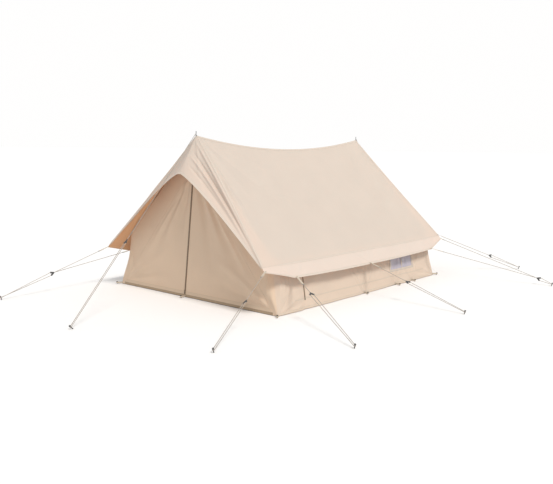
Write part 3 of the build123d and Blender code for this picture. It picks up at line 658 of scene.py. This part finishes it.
def end_ripple(x, z, seed, plain):
    """Folds of an end wall: a fan from the top, a droop to the low corners, upright folds at the sides.

    plain leaves it at that, for a wall with no door. Otherwise the folds die out within 0.10 m of the zip
    and 0.06 m of the leaves' slanting hinge seams, so that a leaf can swing without cutting the wall.
    """
    up = z
    ripple = slack(x, z, seed, 0.0060, 0.60) + slack(x, z, seed + 1, 0.0012, 0.18)
    for side, tall in ((1, 1.0), (-1, 0.8)):
        run = side * x
        ripple += tall * fold(run, up, (0.03, 1.22), (0.30, 0.25), 0.055, -0.020)
        ripple += tall * fold(run, up, (0.02, 1.25), (0.46, 0.42), 0.045, 0.017)
        ripple += tall * fold(run, up, (0.10, 1.10), (0.66, 0.30), 0.050, -0.017)
        ripple += tall * fold(run, up, (0.22, 0.95), (0.80, 0.24), 0.045, 0.016)
        ripple += tall * fold(run, up, (1.02, 0.06), (0.30, 0.46), 0.045, 0.018)
        ripple += tall * fold(run, up, (1.00, 0.05), (0.18, 0.22), 0.040, -0.015)
        ripple += fold(run, up, (1.00, 0.40), (0.94, 0.05), 0.022, 0.008)
        ripple += fold(run, up, (0.95, 0.44), (0.86, 0.06), 0.024, -0.007)
    if plain:
        return ripple
    zip_x = ZIP_FOOT[0] * (ZIP_TOP[1] - z) / (ZIP_TOP[1] - ZIP_FOOT[1])
    drop, reach = ZIP_TOP[1] - DOOR_CORNER[1], DOOR_CORNER[0]
    hinge_gap = np.abs(np.abs(x) * drop + (z - ZIP_TOP[1]) * reach) / math.hypot(drop, reach)
    return ripple * ramp(np.abs(x - zip_x), 0.10) * ramp(hinge_gap, 0.06)


def end_wall(end, x, z, seed, plain=False, lift=0.0):
    """Points of an end wall's outer surface at x across and z up, with the folds standing outwards."""
    edge = FOOT_X - (FOOT_X - SHOULDER_X) * np.clip(z / SHOULDER_Z, 0, 1)
    gap, round_in = np.maximum(edge - np.abs(x), 0.0), corner_radius(z) * (z < 0.6)
    turn = np.clip(1 - gap / np.maximum(round_in, 1e-6), 0, 1) * math.pi / 4 * (gap < round_in)
    inside = round_in * (1 - np.cos(turn))
    pull = np.where(turn > 0, edge - round_in + round_in * np.sin(turn) - np.abs(x), 0.0)
    bulge = end_ripple(x, z, seed, plain) * ramp(z - 0.02, 0.12) * ramp(gap, 0.05)
    bulge = bulge * ramp(APEX - z, 0.10) + OUTER_FACE + lift
    y = WALL_FOOT_Y - z * math.tan(TILT) - inside + bulge * math.cos(TILT)
    return np.stack([x + np.sign(x) * pull, end * y, z + bulge * math.sin(TILT)], axis=2)


def along_path(stops, share):
    """Points of a polyline of (share, x, z) stops, at the shares given."""
    where, x, z = zip(*stops)
    return np.interp(share, where, x), np.interp(share, where, z)


def leaf_place(side, down, across):
    """x and z on a door leaf: down from 0 at its top to 1 at its foot, across from zip to hinge seam."""
    top, foot, corner = ZIP_TOP, ZIP_FOOT, (side * DOOR_CORNER[0], DOOR_CORNER[1])
    x = top[0] + down * ((1 - across) * (foot[0] - top[0]) + across * (corner[0] - top[0]))
    z = top[1] - LEAF_DROP + down * ((1 - across) * (foot[1] - top[1]) + across * (corner[1] - top[1]))
    return x, z


SEED_FRONT, SEED_REAR = 53, 67
for place, side in (("right", 1), ("left", -1)):
    k, j = spread(0, 1, 160, 0, 1, 34)
    inner = along_path([(0, 0.0003, 1.3000), (0.88, 1.0452, 0.030), (1, 1.0452, 0.004)], k)
    outer = along_path([(0, 0.0005, APEX), (0.60, SHOULDER_X, SHOULDER_Z), (1, FOOT_X, 0.004)], k)
    x, z = (side * (inner[0] + (outer[0] - inner[0]) * j), inner[1] + (outer[1] - inner[1]) * j)
    points = end_wall(-1, x, z, SEED_FRONT)
    fixed = cloth_piece(
        f"front_canvas_{place}", points, side, end_canvas, "tent", [f"front_wall_{place}"]
    )
    x, z = leaf_place(side, *spread(0.014, 1, 150, 0.0006, 0.9997, 130))
    points = end_wall(-1, x, z, SEED_FRONT)
    leaf = cloth_piece(
        f"door_leaf_{place}", points, side, end_canvas, f"{place}_leaf", [f"front_door_{place}"]
    )
    x, z = leaf_place(side, *spread(0.975, 1, 4, 0.004, 0.99, 130))
    points = np.swapaxes(end_wall(-1, x, z, SEED_FRONT, lift=HEM_LIFT), 0, 1)
    hem = cloth_piece(f"door_hem_{place}", points, -side, end_tape_painted_shade, f"{place}_leaf")

x, z = spread(-DOOR_CORNER[0] + 0.001, DOOR_CORNER[0] - 0.001, 200, 0.0045, 0.0285, 4)
threshold = cloth_piece(
    "threshold_canvas", end_wall(-1, x, z, SEED_FRONT), 1, brown_tape, "tent", ["door_threshold"]
)

k, j = spread(0, 1, 200, 0, 1, 120)
outline = along_path(
    [
        (0, -FOOT_X, 0.004), (0.14, -SHOULDER_X, SHOULDER_Z), (0.5, 0, APEX),
        (0.86, SHOULDER_X, SHOULDER_Z), (1, FOOT_X, 0.004),
    ],
    k,
)
x, z = outline[0], 0.004 + (outline[1] - 0.004) * (1 - j)
x = np.where(k < 0.14, -FOOT_X + (outline[0] + FOOT_X) * (1 - j), x)
x = np.where(k > 0.86, FOOT_X + (outline[0] - FOOT_X) * (1 - j), x)
points = end_wall(1, x, z, SEED_REAR, plain=True)
rear = cloth_piece("rear_canvas", points, 1, end_canvas, "tent", ["rear_wall"])

# ---- Side walls --------------------------------------------------------------------------------
# Low canvas walls pegged out at their hem, with slack between the pegs, and a sewn-in window under
# the flap.
SIDE_FOOT, SIDE_TOP, SIDE_TOP_Z = 1.100, 1.025, 0.4775
SIDE_PEGS = (-0.065, 0.567, 0.900)
WINDOW_Y, WINDOW_HALF, WINDOW_LOW, WINDOW_HIGH = 0.7075, 0.2275, 0.165, 0.380
SLIT_Y = -1.020
FILM_TURN, TAPE_LIFT = 0.004, 0.0016


def side_wall(side, y, z, seed, lift=0.0):
    """Points of a side wall at y along and z up: a leaning plane with bulges, folds and soft corners."""
    reach = WALL_FOOT_Y - z * math.tan(TILT) + OUTER_FACE
    gap, round_in = np.maximum(reach - np.abs(y), 0.0), corner_radius(z)
    turn = np.clip(1 - gap / round_in, 0, 1) * math.pi / 4
    inside = round_in * (1 - np.cos(turn))
    pull = np.where(turn > 0, reach - round_in + round_in * np.sin(turn) - np.abs(y), 0.0)
    pegged = sum(np.exp(-(((y - peg) / 0.09) ** 2)) for peg in SIDE_PEGS)
    low = np.exp(-z / 0.10)
    bulge = 0.012 * low * (1 - np.minimum(pegged, 1)) + 0.010 * np.sin(np.pi * z / SIDE_TOP_Z)
    bulge += slack(y, z * 1.6, seed, 0.0065, 0.55) + slack(y, z, seed + 1, 0.0016, 0.16)
    for peg in SIDE_PEGS:
        for lean in (-0.26, -0.12, 0.10, 0.24):
            bulge += fold(y, z, (peg, 0.01), (peg + lean, 0.34), 0.018, 0.0075)
    corner_folds = ((0.95, 0.05, 0.005), (0.90, 0.11, -0.005), (1.00, 0.18, 0.005), (1.15, 0.27, -0.004))
    for end in (-1, 1):
        for far, tall, high in corner_folds:
            bulge += fold(end * y, z, (1.40, 0.01), (far, tall), 0.014, high)
        for spot in (1.34, 1.28, 1.22):
            bulge += fold(end * y, z, (spot, 0.46), (spot + 0.03, 0.12), 0.013, 0.008)
    calm = 1 - 0.9 * np.exp(-(((y - SLIT_Y) / 0.05) ** 2)) * (side > 0)
    bulge = bulge * ramp(SIDE_TOP_Z - z, 0.10) * ramp(gap, 0.06) * calm + lift
    x = SIDE_FOOT - (SIDE_FOOT - SIDE_TOP) * z / SIDE_TOP_Z - inside + bulge
    return np.stack([side * x, y + np.sign(y) * pull, z], axis=2)


wall_tape = canvas("wall_tape", (0.68, 0.585, 0.475), GLOW, 0.18, tape=0.024)
window_binding = canvas("window_binding", (0.55, 0.475, 0.405), GLOW, 0.05, tape=0.016)


def film_material():
    """Clear film over fine mesh, dulled to a lilac grey, with a faint grid of threads."""
    material, shader, tree = plain_material("window_film", (0.40, 0.37, 0.43), 0.28)
    shader.inputs["Coat Weight"].default_value = 0.4
    place = tree.nodes.new("ShaderNodeUVMap")
    place.uv_map = "cloth"
    weave = tree.nodes.new("ShaderNodeGroup")
    weave.node_tree = WEAVE
    weave.inputs["Colour"].default_value = (0.40, 0.37, 0.43, 1.0)
    weave.inputs["Threads per Metre"].default_value = 450.0
    weave.inputs["Unevenness"].default_value = 0.5
    bump = tree.nodes.new("ShaderNodeBump")
    bump.inputs["Strength"].default_value, bump.inputs["Distance"].default_value = 0.3, 0.0008
    tree.links.new(place.outputs["UV"], weave.inputs["Vector"])
    tree.links.new(weave.outputs["Colour"], shader.inputs["Base Color"])
    tree.links.new(weave.outputs["Height"], bump.inputs["Height"])
    tree.links.new(bump.outputs["Normal"], shader.inputs["Normal"])
    return material


window_film = film_material()

for place, side, seed in (("right", 1, 71), ("left", -1, 83)):
    reach = WALL_FOOT_Y + OUTER_FACE
    y, z = spread(-reach, reach, 330, 0.004, SIDE_TOP_Z, 60)
    y = y * (reach - (z * math.tan(TILT))) / reach
    points = side_wall(side, y, z, seed)
    middle_y, middle_z = (y[:-1, :-1] + y[1:, 1:]) / 2, (z[:-1, :-1] + z[1:, 1:]) / 2
    hole = (
        (np.abs(middle_y - WINDOW_Y) < WINDOW_HALF - FILM_TURN)
        & (middle_z > WINDOW_LOW + FILM_TURN) & (middle_z < WINDOW_HIGH - FILM_TURN)
    )
    wall = cloth_piece(
        f"side_canvas_{place}", points, side, wall_canvas, "tent",
        [f"side_wall_{place}"], drop=hole,
    )
    y, z = spread(-reach + 0.02, reach - 0.02, 330, 0.005, 0.029, 4)
    points = side_wall(side, y, z, seed, TAPE_LIFT)
    cloth_piece(f"side_hem_{place}", points, side, wall_tape, "tent")
    y, z = spread(-1.18, reach - 0.25, 300, 0.098, 0.112, 4)
    points = side_wall(side, y, z, seed, TAPE_LIFT)
    cloth_piece(f"side_tuck_{place}", points, side, wall_tape, "tent")
    y, z = spread(WINDOW_Y - WINDOW_HALF, WINDOW_Y + WINDOW_HALF, 60, WINDOW_LOW, WINDOW_HIGH, 30)
    film = cloth_piece(
        f"window_film_{place}", side_wall(side, y, z, seed, 0.0004), side, window_film, "tent",
        [f"window_mesh_{place}"], thick=0.0006,
    )
    half, low, high, wide = WINDOW_HALF, WINDOW_LOW, WINDOW_HIGH, 0.016
    edges = {
        "sill": (WINDOW_Y - half - wide, WINDOW_Y + half + wide, low - wide, low + wide / 2),
        "head": (WINDOW_Y - half - wide, WINDOW_Y + half + wide, high - wide / 2, high + wide),
        "front_edge": (WINDOW_Y - half - wide, WINDOW_Y - half + wide / 2, low, high),
        "rear_edge": (WINDOW_Y + half - wide / 2, WINDOW_Y + half + wide, low, high),
        "divider": (WINDOW_Y - wide / 2, WINDOW_Y + wide / 2, low, high),
    }
    for edge, (y_low, y_high, z_low, z_high) in edges.items():
        steps_y, steps_z = (40, 4) if y_high - y_low > 0.1 else (4, 30)
        y, z = spread(y_low, y_high, steps_y, z_low, z_high, steps_z)
        points = side_wall(side, y, z, seed, 0.0020 if edge in ("sill", "head") else 0.0028)
        binding = cloth_piece(
            f"window_{edge}_{place}", points, side, window_binding, "tent",
            [f"window_frame_{place}"] if edge == "sill" else (), thick=0.0015,
        )

# ---- Groundsheet -------------------------------------------------------------------------------
# Coated sheet laid flat and sewn in at the walls' feet, with shallow creases from being folded.
sheet_coat = canvas("sheet_coat", (0.115, 0.12, 0.12), (0.1, 0.1, 0.1), 0.0, threads=350.0, uneven=0.25)
x, y = spread(-1.100, 1.100, 120, -1.422, 1.422, 150)
ridges = 0.0011 + 0.0009 * np.exp(-((np.abs(x) - 0.55) / 0.012) ** 2)
ridges = ridges + 0.0009 * np.exp(-((np.abs(y) - 0.71) / 0.012) ** 2)
ridges = ridges + slack(x, y, 91, 0.0002, 0.35)
sheet = cloth_piece(
    "groundsheet_coated", np.stack([x, y, ridges], axis=2), 1, sheet_coat, "tent",
    ["groundsheet"],
    thick=0.0006,
)

# ---- Webbing -----------------------------------------------------------------------------------
# Woven straps of 20 mm: one from the cloth round each ring at the eaves, and a loop at each peg of
# the walls' hem.


webbing = canvas("webbing", (0.52, 0.45, 0.36), GLOW, 0.02, threads=900.0, uneven=0.2)


def ribbon(name, path, across, width, thick, body="tent", replaced=()):
    """A flat band carried along a path: its two edges stand half the width to each side of it."""
    path, across = np.array([list(p) for p in path]), np.array(list(across))
    points = np.stack([path - across * width / 2, path, path + across * width / 2], axis=1)
    return cloth_piece(name, points, 1, webbing, body, replaced, thick=thick)


def strap_path(anchor, along, normal, length):
    """Out along the face, round the ring's wire in a half circle, and back under itself."""
    path = [anchor + along * s + normal * 0.0016 for s in (-0.03, 0.0, length * 0.5, length - 0.004)]
    centre, radius = anchor + along * (length + 0.002), 0.0034
    for k in range(7):
        turn = math.pi / 2 - math.pi * k / 6
        path.append(centre + along * radius * math.cos(turn) + normal * radius * math.sin(turn))
    return path + [anchor + along * s - normal * 0.0016 for s in (length - 0.004, length * 0.5)]


straps = [(name, Vector(spot[0]), guy_frame(name)[0], spot[2]) for name, spot in GUYS.items() if spot[2]]
for name, (anchor, strap) in BRIDLES.items():
    towards = (rope_route(name)[2] - Vector(anchor)).normalized()
    straps.append((f"bridle_{name}", Vector(anchor), towards, strap))
for k, (name, anchor, along, length) in enumerate(straps):
    level = along.cross(Vector((0.0, 0.0, 1.0))).normalized()
    normal = level.cross(along).normalized()
    ribbon(
        f"strap_{name}", strap_path(anchor, along, normal, length), level, 0.020, 0.0012,
        replaced=["eave_straps"] if k == 0 else (),
    )

HEM_LOOP_REACH, HEM_LOOP_Z = 0.058, 0.007
CORNER_X, END_Y = 1.092, 1.423
place_names, end_names = {1: "right", -1: "left"}, {-1: "front", 1: "rear"}
hem_spots = [
    (f"side_{k}_{place_names[s]}", Vector((s * FOOT_X, y, 0)), Vector((s, 0, 0)))
    for s in (1, -1)
    for k, y in enumerate(SIDE_PEGS)
]
for s, end in ((1, -1), (-1, -1), (1, 1), (-1, 1)):
    spot, away = Vector((s * CORNER_X, end * END_Y, 0)), Vector((s, end, 0)).normalized()
    hem_spots.append((f"corner_{end_names[end]}_{place_names[s]}", spot, away))
hem_spots.append(("front_middle", Vector((ZIP_FOOT[0], -END_Y, 0)), Vector((0, -1, 0))))
hem_spots.append(("rear_middle", Vector((0, END_Y, 0)), Vector((0, 1, 0))))
for k, (name, spot, away) in enumerate(hem_spots):
    level = Vector((-away.y, away.x, 0))
    turns = np.linspace(math.pi * 0.5, -math.pi * 0.5, 13)
    far = spot + away * (0.005 + HEM_LOOP_REACH - 0.011)
    path = [spot + level * 0.010 - away * 0.012, spot + level * 0.010 + away * 0.02]
    path += [far + away * 0.010 * math.cos(t) + level * 0.010 * math.sin(t) for t in turns]
    path += [spot - level * 0.010 + away * 0.02, spot - level * 0.010 - away * 0.012]
    path = [p + Vector((0, 0, HEM_LOOP_Z + 0.006)) for p in path]
    covered = ["hem_loops"] if k == 0 else ()
    ribbon(f"hem_loop_{name}", path, Vector((0, 0, 1)), 0.012, 0.0015, replaced=covered)

# ---- Zips --------------------------------------------------------------------------------------
# Nylon coil on woven tape. The door's two halves ride on their leaves; the slit's lies on the wall.


def zip_material():
    """Brown zip: fine bands of teeth across the whole piece, with painted shade between the teeth and a bump
    from the same bands.
    """
    material, shader, tree = plain_material("zip_coil", (0.20, 0.13, 0.08), 0.6)
    place = tree.nodes.new("ShaderNodeTexCoord")
    teeth = tree.nodes.new("ShaderNodeTexWave")
    teeth.bands_direction = "Z"
    teeth.inputs["Scale"].default_value = 90.0
    # The teeth's crowns are lighter and the gaps between them darker: painted shade, following the bump.
    tone = tree.nodes.new("ShaderNodeMix")
    tone.data_type = "RGBA"
    tone.inputs[6].default_value = (0.155, 0.10, 0.062, 1.0)
    tone.inputs[7].default_value = (0.27, 0.185, 0.12, 1.0)
    bump = tree.nodes.new("ShaderNodeBump")
    bump.inputs["Distance"].default_value = 0.0008
    tree.links.new(place.outputs["Object"], teeth.inputs["Vector"])
    tree.links.new(teeth.outputs["Fac"], tone.inputs[0])
    tree.links.new(tone.outputs[2], shader.inputs["Base Color"])
    tree.links.new(teeth.outputs["Fac"], bump.inputs["Height"])
    tree.links.new(bump.outputs["Normal"], shader.inputs["Normal"])
    return material


zip_coil = zip_material()
y, z = spread(SLIT_Y - 0.007, SLIT_Y + 0.007, 6, 0.085, 0.325, 60)
cloth_piece(
    "slit_coil", side_wall(1, y, z, 71, 0.0020), 1, zip_coil, "tent", ["slit_zip"], thick=0.0015
)

# ---- Hard parts --------------------------------------------------------------------------------
# Poles, feet, spikes, rings, pegs, runners and zip sliders keep their own shape from the part.


def worn_group():
    """Wear and grime on small hard parts: a mask from two sizes of noise, with a height for its bump."""
    group = bpy.data.node_groups.new("handled_surface", "ShaderNodeTree")
    group_socket(group, "Vector", "INPUT", "NodeSocketVector")
    group_socket(group, "Grain", "INPUT", value=60.0)
    group_socket(group, "Mask", "OUTPUT")
    group_socket(group, "Height", "OUTPUT")
    given, put = group.nodes.new("NodeGroupInput"), group.nodes.new("NodeGroupOutput")
    coarse, fine = group.nodes.new("ShaderNodeTexNoise"), group.nodes.new("ShaderNodeTexNoise")
    coarse.inputs["Detail"].default_value = 5.0
    for noise, times in ((coarse, 1.0), (fine, 12.0)):
        group.links.new(given.outputs["Vector"], noise.inputs["Vector"])
        group.links.new(join(group, "MULTIPLY", given.outputs["Grain"], times), noise.inputs["Scale"])
    spread_out = group.nodes.new("ShaderNodeMapRange")
    spread_out.inputs["From Min"].default_value, spread_out.inputs["From Max"].default_value = 0.35, 0.68
    group.links.new(coarse.outputs["Fac"], spread_out.inputs["Value"])
    group.links.new(spread_out.outputs["Result"], put.inputs["Mask"])
    group.links.new(fine.outputs["Fac"], put.inputs["Height"])
    return group


HANDLED = worn_group()


def hard_material(name, clean, worn, rough_clean, rough_worn, metallic, grain=60.0, relief=0.0002):
    """A hard finish that shifts between a clean and a worn colour and roughness."""
    material, shader, tree = plain_material(name, clean, rough_clean, metallic)
    place = tree.nodes.new("ShaderNodeTexCoord")
    handled = tree.nodes.new("ShaderNodeGroup")
    handled.node_tree = HANDLED
    handled.inputs["Grain"].default_value = grain
    tone = tree.nodes.new("ShaderNodeMix")
    tone.data_type = "RGBA"
    tone.inputs[6].default_value, tone.inputs[7].default_value = (*clean, 1.0), (*worn, 1.0)
    bump = tree.nodes.new("ShaderNodeBump")
    bump.inputs["Strength"].default_value, bump.inputs["Distance"].default_value = 0.4, relief
    tree.links.new(place.outputs["Object"], handled.inputs["Vector"])
    tree.links.new(handled.outputs["Mask"], tone.inputs[0])
    tree.links.new(tone.outputs[2], shader.inputs["Base Color"])
    rough = join(tree, "MULTIPLY_ADD", handled.outputs["Mask"], rough_worn - rough_clean, rough_clean)
    tree.links.new(rough, shader.inputs["Roughness"])
    tree.links.new(handled.outputs["Height"], bump.inputs["Height"])
    tree.links.new(bump.outputs["Normal"], shader.inputs["Normal"])
    return material


finishes = {
    "pole_tube": hard_material(
        "galvanised_tube", (0.55, 0.56, 0.57), (0.40, 0.41, 0.42), 0.32, 0.55, 1.0, 25.0
    ),
    "pole_foot": hard_material("rubber_foot", (0.03, 0.03, 0.03), (0.06, 0.058, 0.055), 0.75, 0.9, 0.0, 80.0),
    "pole_spike": hard_material("turned_steel", (0.45, 0.45, 0.46), (0.30, 0.30, 0.30), 0.3, 0.5, 1.0),
    "zip_metal": hard_material(
        "bronze_paint", (0.10, 0.085, 0.07), (0.22, 0.18, 0.13), 0.4, 0.55, 0.6, 150.0
    ),
    "ring_metal": hard_material("zinc_wire", (0.42, 0.42, 0.42), (0.28, 0.28, 0.28), 0.35, 0.55, 1.0, 90.0),
    "runner_plastic": hard_material(
        "moulded_plastic", (0.05, 0.05, 0.052), (0.085, 0.083, 0.08), 0.5, 0.7, 0.0, 120.0
    ),
    "peg_steel": hard_material("peg_steel", (0.16, 0.16, 0.165), (0.10, 0.095, 0.09), 0.45, 0.7, 0.9, 100.0),
    "zip_tape": zip_coil,
}
slots = {part["node"]: part["material_slot"] for part in frame["record"]["subparts"]}
for name, node in nodes.items():
    if slots[name] in finishes:
        for k in range(max(len(node.material_slots), 1)):
            if len(node.material_slots) <= k:
                node.data.materials.append(finishes[slots[name]])
            else:
                node.material_slots[k].material = finishes[slots[name]]
